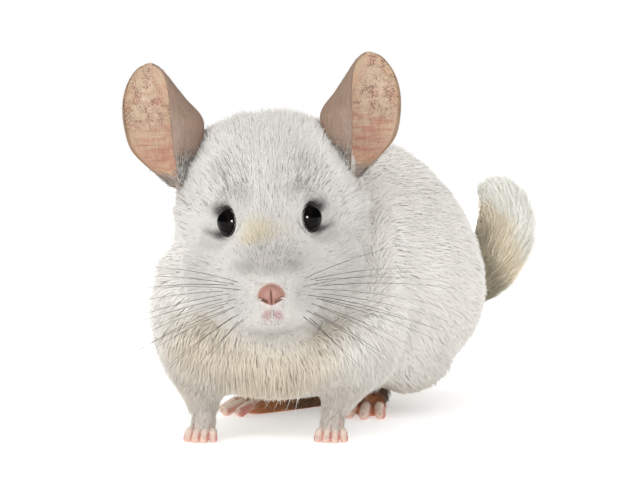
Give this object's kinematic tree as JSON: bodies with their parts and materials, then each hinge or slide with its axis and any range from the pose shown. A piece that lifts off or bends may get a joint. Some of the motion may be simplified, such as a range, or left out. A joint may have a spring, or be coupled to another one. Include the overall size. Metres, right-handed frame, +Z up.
{
  "type": "chinchilla",
  "caption": "Still life-size model of a white chinchilla standing on its feet, head turned, large ears raised and bushy tail curled up beside the rump.",
  "frame": {"origin": "on the floor, under the middle of the whole animal's box", "axes": "+Z up, the animal faces -Y, its left side is +X"},
  "size_m": [0.1376, 0.251, 0.1618],
  "materials": {
    "coat": "dense soft white fur with a pale grey cast",
    "face_coat": "short white and grey fur",
    "chest_coat": "cream fur",
    "foot_coat": "very short greyish fur",
    "tail_dark": "stiff grey-brown hair",
    "tail_cream": "long cream hair",
    "ear_skin": "thin bare skin, pinkish tan with dark freckles",
    "nose_skin": "bare pink skin",
    "foot_skin": "pale pink skin with sparse hair",
    "eye": "glossy black",
    "whisker": "dark stiff hair",
    "claw": "small brown claw"
  },
  "bodies": {
    "root": {"head": "face_coat", "nose": "nose_skin", "eye_left": "eye", "eye_right": "eye", "ear_left": "ear_skin", "ear_right": "ear_skin", "neck": "coat", "chest": "chest_coat", "trunk": "coat", "rump": "coat", "thigh_left": "coat", "thigh_right": "coat", "upper_arm_left": "coat", "upper_arm_right": "coat", "forearm_left": "foot_coat", "forearm_right": "foot_coat", "forepaw_left": "foot_skin", "forepaw_right": "foot_skin", "hindfoot_left": "foot_skin", "hindfoot_right": "foot_skin", "tail_base": "tail_dark", "tail_middle": "tail_cream", "tail_tip": "tail_cream"}
  },
  "joints": []
}
